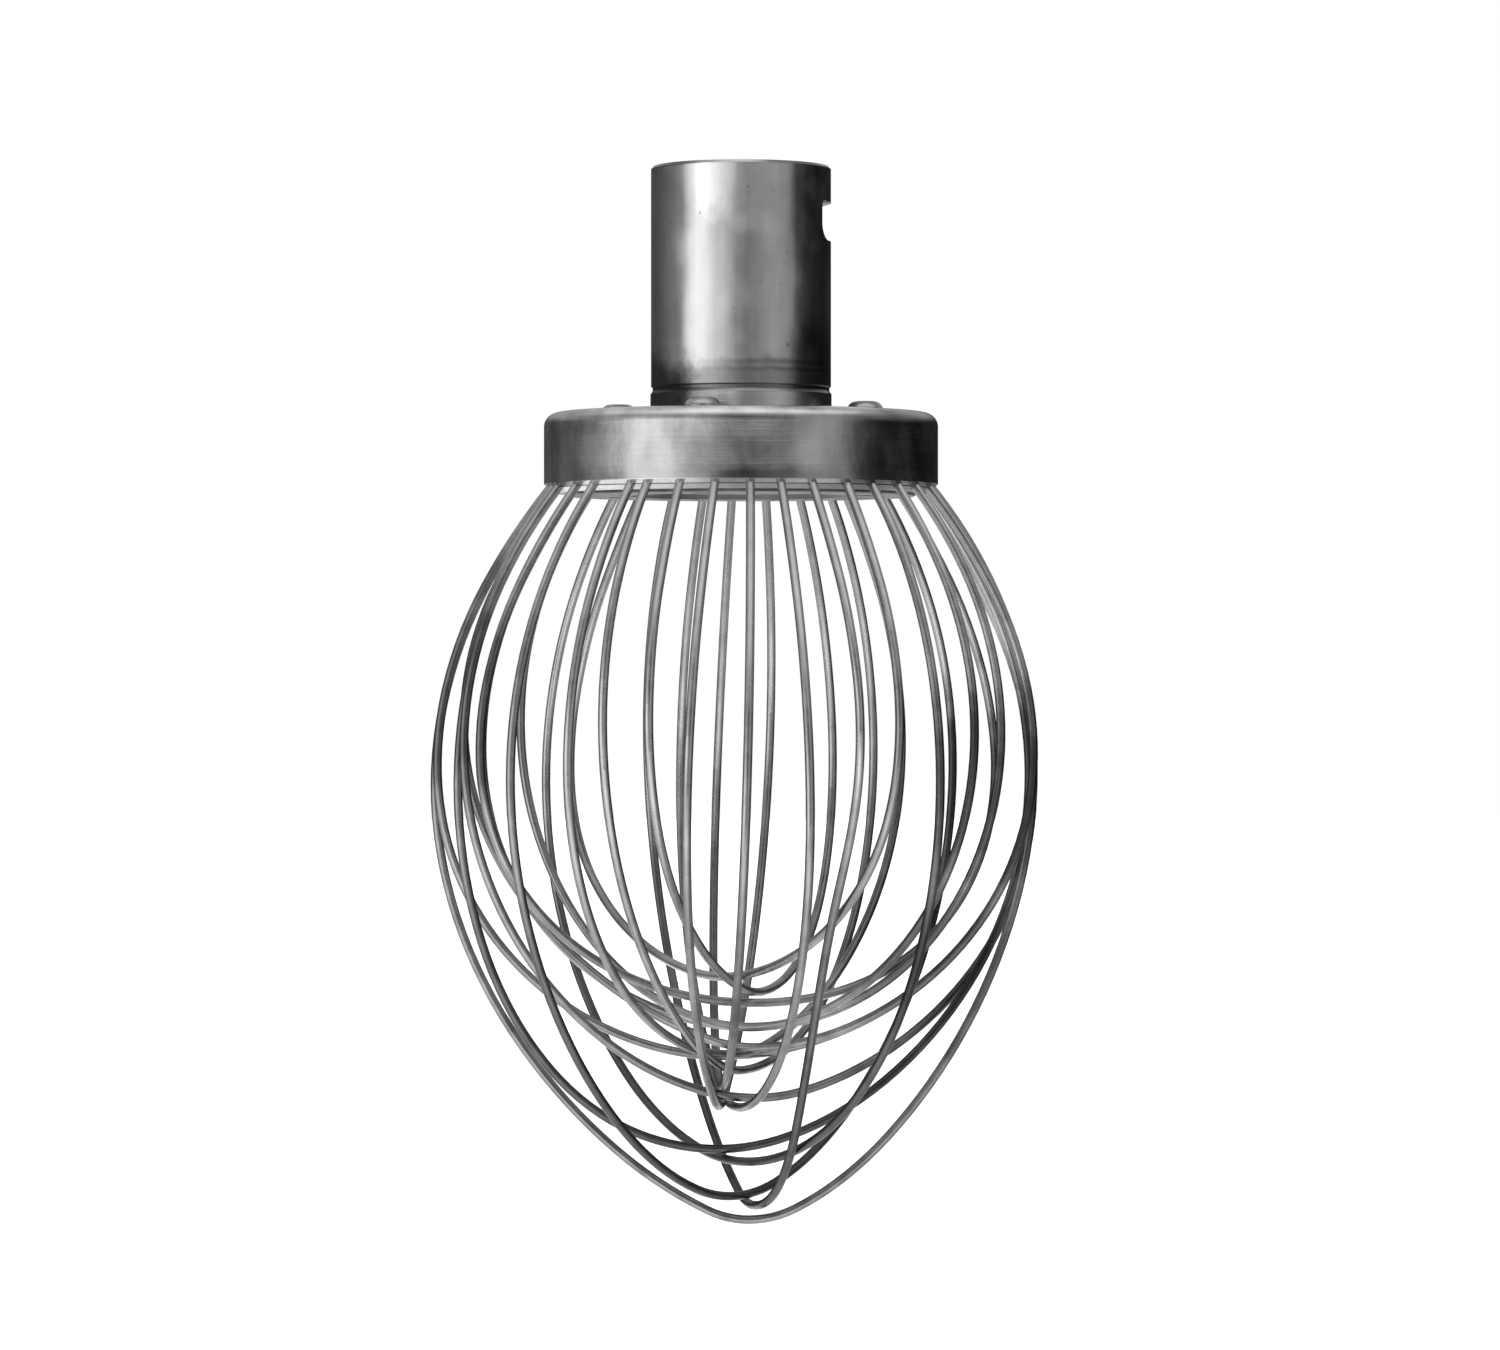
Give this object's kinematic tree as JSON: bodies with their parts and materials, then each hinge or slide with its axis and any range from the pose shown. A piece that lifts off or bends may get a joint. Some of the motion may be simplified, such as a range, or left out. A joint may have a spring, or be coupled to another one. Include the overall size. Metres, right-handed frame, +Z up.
{
  "type": "stand mixer wire whisk",
  "caption": "Balloon wire whisk for a planetary stand mixer: a bayonet drive sleeve on a round head that clamps nested steel wire loops, for whipping and aerating.",
  "frame": {"origin": "on the axis of the drive bore, at its mouth (the top rim of the sleeve)", "axes": "+Z up along the drive axis, out of the bore's mouth; the whisk hangs down in -Z; -Y is the front of the picture and +X its right, where the bayonet slot is"},
  "size_m": [0.153, 0.1647, 0.2642],
  "materials": {
    "sleeve_steel": "turned and polished along the tube, a little cloudy, dulled near the foot",
    "cap_steel": "turned, with fine rings round the rim, worn edges",
    "plate_steel": "turned, dull",
    "screw_steel": "plain socket screws, satin",
    "wire_steel": "drawn wire, satin, uneven shine"
  },
  "bodies": {
    "root": {"drive_sleeve": "sleeve_steel", "head_cap": "cap_steel", "wire_plate": "plate_steel", "cap_screws": "screw_steel", "wire_loop_01": "wire_steel", "wire_loop_02": "wire_steel", "wire_loop_03": "wire_steel", "wire_loop_04": "wire_steel", "wire_loop_05": "wire_steel", "wire_loop_06": "wire_steel", "wire_loop_07": "wire_steel", "wire_loop_08": "wire_steel", "wire_loop_09": "wire_steel", "wire_loop_10": "wire_steel", "wire_loop_11": "wire_steel", "wire_loop_12": "wire_steel", "wire_loop_13": "wire_steel", "wire_loop_14": "wire_steel", "wire_loop_15": "wire_steel", "wire_loop_16": "wire_steel", "wire_loop_17": "wire_steel", "wire_loop_18": "wire_steel"}
  },
  "joints": []
}
